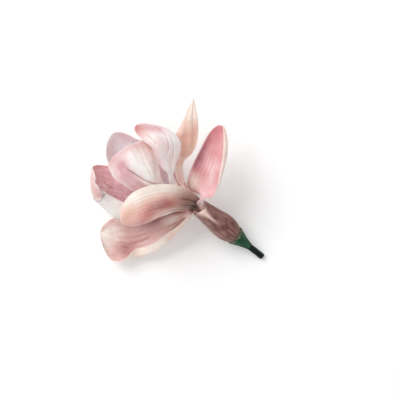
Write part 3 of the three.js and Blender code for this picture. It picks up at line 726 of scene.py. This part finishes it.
def petal_skin(name, vein_tone, outer_veins, inner_veins, net_share):
    """Living petal: a waxy, slightly see-through skin. The eye sees soft blotches in the painted
    pigments with painted shade and painted light among them, fine veins that run to the margin
    with a net between them, a pale rim, light that spreads in the flesh, and a faint satin gloss."""
    material, tree, output = new_material("magnolia_petal_" + name)
    uv = add(tree, "UVMap", uv_map="UVMap").outputs[0]
    place = add(tree, "TexCoord").outputs["Object"]
    pigment_and_shade = add(tree, "Attribute", attribute_name="pigment_and_shade").outputs["Color"]
    wide = ranged(tree, mask(tree, "breadth"), 2.0, 9.0)

    blotch = noise(tree, place, 1 / BLOTCH, 4.0)
    cloud = noise(tree, place, 1 / CLOUD, 7.0, roughness=0.62)
    grain = noise(tree, place, 1 / GRAIN, 2.0)
    streak_place = add(tree, "Mapping", {"Vector": uv, "Scale": (1, 0.11, 1)}).outputs[0]
    streak = noise(tree, streak_place, UV_SPAN / VEIN_SPACING, 4.0, distortion=0.3)
    bend = add(tree, "TexNoise", {"Vector": uv, "Scale": UV_SPAN / NET_BEND, "Detail": 3.0})
    bent = add(tree, "Mix", {"Factor": 0.06, 4: uv, 5: bend.outputs["Color"]},
               data_type="VECTOR").outputs[1]
    net_place = add(tree, "Mapping", {"Vector": bent, "Scale": (1, 0.6, 1)}).outputs[0]
    net = add(tree, "TexVoronoi", {"Vector": net_place, "Scale": UV_SPAN / NET_CELL},
              feature="DISTANCE_TO_EDGE").outputs["Distance"]
    net = ranged(tree, net, 0.0, 0.13, 1.0, 0.0)
    net = worked(tree, "MULTIPLY", net, ranged(tree, cloud, 0.35, 0.6, 0.1, net_share))
    vein = worked(tree, "ABSOLUTE", worked(tree, "SUBTRACT", streak, 0.5))
    vein = ranged(tree, vein, 0.0, 0.05, 0.8, 0.0)
    lines = worked(tree, "MULTIPLY", worked(tree, "MAXIMUM", vein, net), wide)
    streak = worked(tree, "MULTIPLY", streak, wide)

    deeper = shaded(tree, pigment_and_shade, 1.17, 0.92)
    paler = shaded(tree, pigment_and_shade, 0.86, 1.06)
    colour = mixed(tree, ranged(tree, blotch, 0.36, 0.64), paler, deeper)
    colour = mixed(tree, ranged(tree, cloud, 0.5, 0.68, 0.0, 0.5), colour, deeper)
    colour = mixed(tree, ranged(tree, streak, 0.4, 0.75, 0.0, 0.15), colour, deeper)
    shown = ranged(tree, mask(tree, "inner_side"), 0, 1, outer_veins, inner_veins)
    colour = mixed(tree, worked(tree, "MULTIPLY", lines, shown), colour, vein_tone)
    rim = ranged(tree, mask(tree, "margin"), 0.2, 1.6, 0.25, 0.0)
    rim = worked(tree, "MULTIPLY", rim, ranged(tree, mask(tree, "along"), 0.4, 0.6))
    colour = mixed(tree, rim, colour, RIM_TONE)

    height = worked(tree, "MULTIPLY", lines, -0.6)
    height = worked(tree, "ADD", height, worked(tree, "MULTIPLY", grain, 0.5))
    height = worked(tree, "ADD", height, worked(tree, "MULTIPLY", streak, 0.35))
    bump = add(tree, "Bump", {"Height": height, "Strength": 0.4, "Distance": 0.15 * MM}).outputs[0]
    skin = add(tree, "BsdfPrincipled", {
        "Base Color": colour, "Roughness": ranged(tree, cloud, 0.3, 0.7, 0.42, 0.56),
        "IOR": 1.42, "Subsurface Weight": 0.6, "Subsurface Radius": (1.0, 0.7, 0.65),
        "Subsurface Scale": 1.8 * MM, "Sheen Weight": 0.1, "Sheen Roughness": 0.5, "Normal": bump})
    tree.links.new(skin.outputs[0], output.inputs["Surface"])
    return material


def tissue(name, tones, fibre_mm, roughness, greening=None):
    """Tissue of the tube, cup, stalk, carpels and stamens: firm and fibrous. The eye sees long
    streaks of two tones, blotches of a third, a pale fourth where the mask says, a greener tone
    from a depth to a depth, and a low satin gloss broken by the fibres."""
    material, tree, output = new_material(name)
    uv = add(tree, "UVMap", uv_map="UVMap").outputs[0]
    place = add(tree, "TexCoord").outputs["Object"]
    fibre_place = add(tree, "Mapping", {"Vector": uv, "Scale": (1, 0.1, 1)}).outputs[0]
    fibre = noise(tree, fibre_place, UV_SPAN / fibre_mm, 5.0, distortion=0.4)
    blotch = noise(tree, place, 1 / TISSUE_BLOTCH, 4.0)
    pale = worked(tree, "MULTIPLY", mask(tree, "pale"), 1.0, clamp=True)
    colour = mixed(tree, ranged(tree, fibre, 0.35, 0.65), tones[0], tones[1])
    colour = mixed(tree, ranged(tree, blotch, 0.45, 0.7, 0.0, 0.85), colour, tones[2])
    if greening:
        start, end, green_tone = greening
        green = ranged(tree, mask(tree, "depth"), start, end)
        green = worked(tree, "MULTIPLY", green, ranged(tree, blotch, 0.3, 0.6, 0.3, 0.9))
        colour = mixed(tree, green, colour, green_tone)
    colour = mixed(tree, pale, colour, tones[3])
    bump = add(tree, "Bump", {"Height": fibre, "Strength": 0.5, "Distance": 0.3 * MM}).outputs[0]
    gloss = ranged(tree, fibre, 0.3, 0.7, roughness - 0.08, roughness + 0.08)
    skin = add(tree, "BsdfPrincipled", {
        "Base Color": colour, "Roughness": gloss, "IOR": 1.42, "Specular IOR Level": 0.22,
        "Subsurface Weight": 0.1, "Subsurface Radius": (1.0, 0.5, 0.4),
        "Subsurface Scale": 1.5 * MM, "Normal": bump})
    tree.links.new(skin.outputs[0], output.inputs["Surface"])
    return material


# ---- tube, cup, stalk and the bloom's centre ---------------------------------------------------

# Each profile: how far down from the mouth, and the radius there.
TUBE = [(0, 8.0), (5, 8.0), (10, 8.6), (16, 9.3), (22, 10.2), (28, 10.8), (34, 10.6), (39, 9.5),
        (43, 7.9), (47, 6.4), (51, 4.7), (53, 3.4)]
CUP = [(43.5, 8.6), (47, 7.4), (51, 5.9), (55, 4.6), (58, 3.8), (61, 3.1)]
TUBE_WALL = 0.7
MOUTH_RADIUS = 7.35  # the mouth's thin lip hugs the claws
MOUTH_LIP = 3.5  # length over which the tube draws in to it
MOUTH_DIP = 1.9  # how far the mouth dips beside the seam
CUP_GAP = 0.25  # between the cup and the tube in it
STALK_RADIUS = 2.75
STALK_END = 77.4  # its cut end, down from the mouth
STALK_GAP = 0.2
CUT_ROUNDING = 0.7  # of the cut end's edge
HUB = 0.4  # radius of the flat middle that closes a turned end
AROUND = 120  # vertices of a ring
SEAM = math.radians(-7)  # azimuth of the pale ridge that runs down from the mouth


def turned(profile, wobble=None, sag=None):
    """Rings about the axis: each (height, radius) of the profile gives one ring, wobble adds to
    the radius by height and azimuth, and sag to the height."""
    azimuth = np.linspace(0, 2 * np.pi, AROUND, endpoint=False)[None]
    height, radius = profile[:, :1], profile[:, 1:]
    if wobble is not None:
        radius = radius + wobble(height, azimuth)
    if sag is not None:
        height = height + sag(height, azimuth)
    return on_axis(*np.broadcast_arrays(height, azimuth, radius))


def turned_uv(profile):
    """UVs of turned rings and their two poles: round by azimuth, and along by the profile."""
    along = np.concatenate([[0], np.cumsum(np.linalg.norm(np.diff(profile, axis=0), axis=1))])
    round_mm = np.abs(np.linspace(-1, 1, AROUND, endpoint=False)) * np.pi * profile[:, 1].max()
    grid = np.stack(np.broadcast_arrays(round_mm[None], along[:, None]), -1).reshape(-1, 2)
    return np.concatenate([grid, [[0, along[0]], [0, along[-1]]]]) / UV_SPAN


def add_turned(name, profile, skin, node, wobble=None, pale=None, sag=None):
    """A turned piece from its profile, which starts and ends near the axis. Nothing goes below the
    surface that the bloom lies on. Its masks say where it is pale, and how far down the tube."""
    places = close_rings(turned(profile, wobble, sag))
    places[:, 2] = np.maximum(places[:, 2], 0)
    azimuth = np.linspace(0, 2 * np.pi, AROUND, endpoint=False)[None]
    paleness = np.zeros((len(profile), AROUND))
    if pale is not None:
        paleness = paleness + pale(profile[:, :1], azimuth)
    depth = -np.broadcast_to(profile[:, :1], paleness.shape)
    ends = [paleness[0].mean(), paleness[-1].mean()]
    masks = {"pale": np.concatenate([paleness.ravel(), ends]),
             "depth": np.concatenate([depth.ravel(), depth[[0, -1], 0]])}
    add_piece(name, places, ring_faces(len(profile), AROUND), skin, node, masks,
              turned_uv(profile))


def turn_from(azimuth, middle):
    """The turn between two azimuths, from minus half a turn to half a turn."""
    return (azimuth - middle + np.pi) % (2 * np.pi) - np.pi


def ridge(height, azimuth):
    """How near a place is to the ridge below the mouth, which is broad at the mouth and narrows as
    it runs out along the tube: a bell across it, and soft steps along it."""
    spread = 0.13 + 0.4 * smooth((height + 12) / 12)
    return np.exp(-(turn_from(azimuth, SEAM) / spread) ** 2) * smooth((height + 24) / 14)


def tube_wobble(height, azimuth):
    """Low ribs that run along the tube, nine broad and 23 fine ones as cosines of the azimuth, and
    the one that stands out below the mouth."""
    ribs = 0.16 * np.cos(9 * azimuth + 0.05 * height) + 0.08 * np.cos(23 * azimuth)
    return ribs * smooth(-height / 8) + 0.5 * ridge(height, azimuth) * smooth(-height / 2)


def build_tube(skin):
    """The barrel with its wall: down the outside from the mouth, where it draws in to a thin lip,
    and a straight bore as deep as the claws reach."""
    depths = np.linspace(0, TUBE[-1][0], 70)
    narrowing = (TUBE[0][1] - MOUTH_RADIUS) * (1 - smooth(depths / MOUTH_LIP)) ** 2
    outside = np.stack([-depths, curve_through(TUBE, depths) - narrowing], -1)[::-1]
    bore = TUBE[0][1] - TUBE_WALL
    foot = [(-TUBE[-1][0], HUB), (-TUBE[-1][0], 2.0)]
    inside = [(0.05, MOUTH_RADIUS - 0.08), (-0.1, MOUTH_RADIUS - 0.16), (-1, bore - 0.1),
              (-4, bore), (-CLAW_DEPTH - GAP, bore), (-CLAW_DEPTH - GAP, HUB)]
    profile = np.vstack([foot, outside, inside])

    def pale(height, azimuth):
        """The pale ridge below the mouth, the mouth's paler collar, and the paler lower side."""
        lower = np.exp(-(turn_from(azimuth, math.radians(-75)) / 0.6) ** 2)
        return 0.97 * ridge(height, azimuth) + 0.2 * smooth((height + 4) / 4) + 0.15 * lower

    def sag(height, azimuth):
        """The mouth dips where the petals' claws leave it, and waves a little all round."""
        dip = MOUTH_DIP * np.exp(-(turn_from(azimuth, SEAM + 0.35) / 0.5) ** 2)
        return -(dip + 0.35 + 0.3 * np.sin(5 * azimuth) ** 2) * smooth((height + 6) / 6)

    add_turned("tube", profile, skin, "flower_tube",
               lambda h, a: tube_wobble(h, a) * (h < -1.0), pale, sag)


def build_cup(skin):
    """The cup: its own profile outside, and inside the tube's, wider by the gap between them."""
    depths = np.linspace(CUP[0][0], CUP[-1][0], 40)
    outside = np.stack([-depths, curve_through(CUP, depths)], -1)[::-1]
    tube_depths = np.linspace(CUP[0][0], TUBE[-1][0], 30)
    inside = np.stack([-tube_depths, curve_through(TUBE, tube_depths) + CUP_GAP], -1)
    foot = -TUBE[-1][0] - GAP
    profile = np.vstack([[(-CUP[-1][0], HUB)], outside, inside, [(foot, HUB)]])

    def pale(height, azimuth):
        """The ragged rim is a pale grey green."""
        ragged = 0.9 * np.sin(7 * azimuth + 1) + 0.6 * np.sin(17 * azimuth)
        return 0.8 * smooth((height + CUP[0][0] + 1.8 + ragged) / 1.6)

    add_turned("green_cup_of_sepals", profile, skin, "green_cup",
               lambda h, a: 0.14 * np.cos(7 * a + 0.2 * h), pale)


def build_stalk(skin):
    """A straight round stalk from its cut end, which has a rounded edge and is a little hollow in
    the middle, up to the cup."""
    rounded = np.linspace(0, np.pi / 2, 8)
    cut = np.stack([CUT_ROUNDING * (1 - np.cos(rounded)) - STALK_END,
                    CUT_ROUNDING * (np.sin(rounded) - 1) + STALK_RADIUS], -1)
    top = -CUP[-1][0] - STALK_GAP
    heights = np.linspace(CUT_ROUNDING - STALK_END, top, 40)[1:]
    side = np.stack([heights, np.full_like(heights, STALK_RADIUS)], -1)
    profile = np.vstack([[(0.1 - STALK_END, 0.3)], cut, side, [(top, 0.3)]])

    def pale(height, azimuth):
        """The cut face is lighter than the bark."""
        return smooth((-height - STALK_END + 0.5) / 0.5)

    add_turned("stalk", profile, skin, "cut_stalk",
               lambda h, a: 0.08 * np.cos(5 * a + 0.3 * h) + 0.07 * np.sin(0.9 * h), pale)


# The cone's profile: how far up from the mouth, and the radius there.
CARPEL_CONE = [(-6.6, 1.6), (1, 1.5), (4, 1.7), (7, 2.2), (10, 2.2), (14, 1.6), (17, 0.9)]
CARPEL_TIP = 18.0
CARPELS = 64
CARPELS_FROM, CARPELS_TO = 4.5, 17.2  # heights of the lowest and the highest carpel
CARPEL_REACH = (1.3, 1.9)  # how far the lowest ones reach, from the shortest to the longest
CARPEL_SUNK = 0.25  # how deep they start in the cone
GOLDEN_TURN = math.pi * (3 - math.sqrt(5))
STAMENS = 33
STAMEN_FOOT, STAMEN_TIP = -6.4, 3.2  # heights of the inner row
STAMEN_RING = 2.0  # and its distance from the axis
TALLER, FARTHER = 0.45, 0.22  # how much each next row is
# How far along a stamen, and half its thickness there.
STAMEN = [(0, 0.16), (0.3, 0.2), (0.75, 0.27), (0.92, 0.24), (1, 0.08)]


def rods(paths, radii, flat, widths, sides=8):
    """Many closed rods at once. Each path is a row of places; round each place lies an oval ring,
    in the two ways square to the path, as thick as the radii say and the stated times wider across
    each rod's flat way; a pole closes each end. Gives places, faces, how far each place is along
    its rod, from 0 to 1, and UVs."""
    count, steps = paths.shape[:2]
    forward = np.gradient(paths, axis=1)
    forward /= np.linalg.norm(forward, axis=2, keepdims=True)
    across = np.cross(forward, flat[:, None])
    across /= np.linalg.norm(across, axis=2, keepdims=True)
    thick = np.cross(across, forward)
    turn = np.linspace(0, 2 * np.pi, sides, endpoint=False)
    ring = (np.cos(turn)[:, None] * across[:, :, None] * widths
            + np.sin(turn)[:, None] * thick[:, :, None]) * radii[..., None, None]
    rings = paths[:, :, None] + ring
    ends = np.stack([paths[:, 0], paths[:, -1]], 1)
    places = np.concatenate([rings.reshape(count, -1, 3), ends], 1)
    one = ring_faces(steps, sides)
    quads = np.array([face for face in one if len(face) == 4])
    fans = np.array([face for face in one if len(face) == 3])
    first = np.arange(count)[:, None, None] * places.shape[1]
    faces = (quads + first).reshape(-1, 4).tolist() + (fans + first).reshape(-1, 3).tolist()
    steps_mm = np.linalg.norm(np.diff(paths, axis=1), axis=2)
    length = np.concatenate([np.zeros((count, 1)), np.cumsum(steps_mm, axis=1)], 1)
    round_mm = np.abs(np.linspace(-1, 1, sides, endpoint=False)) * np.pi * radii.max()
    grid = np.stack(np.broadcast_arrays(round_mm, length[..., None]), -1).reshape(count, -1, 2)
    poles = np.stack([np.zeros((count, 2)), length[:, [0, -1]]], -1)
    uv = np.concatenate([grid, poles], 1).reshape(-1, 2) / UV_SPAN
    along = np.concatenate([np.repeat(np.linspace(0, 1, steps), sides), [0, 1]])
    return places.reshape(-1, 3), faces, np.tile(along, count), uv


def build_carpels(skin):
    """The cone, and carpels on it in the golden spiral: each a plump foot that narrows to a beak,
    which leaves the cone outwards and upwards and curls over at its tip."""
    lowest, highest = CARPEL_CONE[0][0], CARPEL_CONE[-1][0]
    heights = np.linspace(lowest, highest, 50)
    radius = curve_through(CARPEL_CONE, heights)
    dome = np.linspace(0, np.pi / 2, 8)[1:-1]
    top = np.stack([highest + (CARPEL_TIP - highest) * np.sin(dome),
                    radius[-1] * np.cos(dome)], -1)
    profile = np.vstack([[(lowest, 0.3)], np.stack([heights, radius], -1), top])
    add_turned("carpel_cone", profile, skin, "carpels")

    rng = np.random.default_rng(SEED + 20)
    number = np.arange(CARPELS)
    height = CARPELS_FROM + (CARPELS_TO - CARPELS_FROM) * number / (CARPELS - 1)
    azimuth = number * GOLDEN_TURN
    out = outward(azimuth)
    cone = curve_through(CARPEL_CONE, np.minimum(height, highest))
    foot = on_axis(height, azimuth, cone - CARPEL_SUNK)
    reach = rng.uniform(*CARPEL_REACH, CARPELS) * (1 - 0.35 * number / CARPELS)
    reach = reach[:, None, None]
    u = np.linspace(0, 1, 9)[None, :, None]
    curl = np.sin(np.pi * 0.75 * u)
    paths = foot[:, None] + reach * (0.62 * u * out[:, None] + (0.85 * u - 0.25 * curl * u) * AXIS)
    paths = paths + reach * 0.25 * u ** 3 * out[:, None]
    radii = (0.1 + 0.38 * np.exp(-((u[..., 0] - 0.18) / 0.3) ** 2)) * np.ones((CARPELS, 1))
    places, faces, along, uv = rods(paths, radii, out, 1.1)
    masks = {"pale": smooth((along - 0.45) / 0.5)}
    add_piece("carpel_beaks", places, faces, skin, "carpels", masks, uv)


def build_stamens(skin):
    """Three rows of flat stamens round the foot of the cone, each leaning out a little and bent in
    again at its blunt tip, with the longest in the outer row."""
    rng = np.random.default_rng(SEED + 21)
    number = np.arange(STAMENS)
    row = number % 3
    azimuth = number * 2 * np.pi / STAMENS + rng.uniform(-0.05, 0.05, STAMENS)
    u = np.linspace(0, 1, 11)[None]
    tip = (STAMEN_TIP + TALLER * row + rng.uniform(-0.3, 0.3, STAMENS))[:, None]
    height = STAMEN_FOOT + (tip - STAMEN_FOOT) * u
    radius = (STAMEN_RING + FARTHER * row)[:, None] + 0.35 * smooth((height - 0.5) / 2.5)
    radius = radius - 0.45 * smooth((u - 0.85) / 0.2)
    paths = on_axis(height, azimuth[:, None], radius)
    radii = curve_through(STAMEN, u[0]) * np.ones((STAMENS, 1))
    places, faces, along, uv = rods(paths, radii, outward(azimuth), 1.7)
    masks = {"pale": smooth((along - 0.7) / 0.3)}
    add_piece("stamen_ring", places, faces, skin, "stamens", masks, uv)


# ---- the set -----------------------------------------------------------------------------------

skins = {name: petal_skin(name, *values) for name, values in SKINS.items()}
for name, petal in PETALS.items():
    places, faces, masks, uv = petal_mesh(name, petal)
    add_piece("petal_" + name, places, faces, skins[petal["skin"]], petal["node"], masks, uv)

build_tube(tissue("tube_tissue", ("#7c524d", "#a47a73", "#633d38", "#f4d5cb"),
                  fibre_mm=1.5, roughness=0.5, greening=(31, 48, "#56593f")))
build_cup(tissue("cup_tissue", ("#123b27", "#2a5f43", "#08200f", "#8a8570"),
                 fibre_mm=1.4, roughness=0.5))
build_stalk(tissue("stalk_bark", ("#0d1410", "#19231c", "#080d0a", "#3b4738"),
                   fibre_mm=1.0, roughness=0.55))
build_carpels(tissue("carpel_tissue", ("#a3a962", "#bfc283", "#8b8c50", "#b77a80"),
                     fibre_mm=0.7, roughness=0.5))
build_stamens(tissue("stamen_tissue", ("#b9747f", "#d9a6a6", "#9c5666", "#ead5c0"),
                     fibre_mm=0.6, roughness=0.5))

FLOOR_SIZE = 6.0  # in metres, as are the lamp's size and its distance
LAMP_SIZE, LAMP_FAR = 1.8, 3.0
LAMP_WATTS = 50.0
LAMP_WAY = (-0.52, 0.49, 0.82)
SKY = 0.61  # strength of the even white world
CAMERA_PLACE = np.array([20.8, -17.0, 1045.0]) + TO_MIDDLE
CAMERA_LENS, CAMERA_SENSOR = 105.9, 36.0


def build_stage():
    """A pale floor, an even white world, one broad soft lamp from the upper left, and the camera
    straight above. The floor is matt paper: the eye sees an even white without any gloss."""
    bpy.ops.mesh.primitive_plane_add(size=FLOOR_SIZE)
    floor = bpy.context.object
    floor.name = "floor"
    paper, tree, output = new_material("matt_white_paper")
    body = add(tree, "BsdfPrincipled", {
        "Base Color": linear("#fbfbfb"), "Roughness": 0.9,
        "Emission Color": linear("#ffffff"), "Emission Strength": 0.1})
    tree.links.new(body.outputs[0], output.inputs["Surface"])
    floor.data.materials.append(paper)

    world = bpy.data.worlds.new("studio")
    bpy.context.scene.world = world
    world.use_nodes = True
    sky = world.node_tree.nodes["Background"]
    sky.inputs["Color"].default_value = linear("#ffffff")
    sky.inputs["Strength"].default_value = SKY

    lamp = bpy.data.lights.new("window", "AREA")
    lamp.size = LAMP_SIZE
    lamp.energy = LAMP_WATTS
    lamp_object = bpy.data.objects.new("window", lamp)
    bpy.context.scene.collection.objects.link(lamp_object)
    lamp_object.location = Vector(LAMP_WAY).normalized() * LAMP_FAR
    lamp_object.rotation_euler = lamp_object.location.to_track_quat("Z", "Y").to_euler()

    camera = bpy.data.cameras.new("camera")
    camera.lens = CAMERA_LENS
    camera.sensor_width = CAMERA_SENSOR
    camera_object = bpy.data.objects.new("camera", camera)
    camera_object.location = CAMERA_PLACE * MM
    bpy.context.scene.collection.objects.link(camera_object)
    bpy.context.scene.camera = camera_object
    bpy.context.scene.view_settings.view_transform = "Standard"


build_stage()
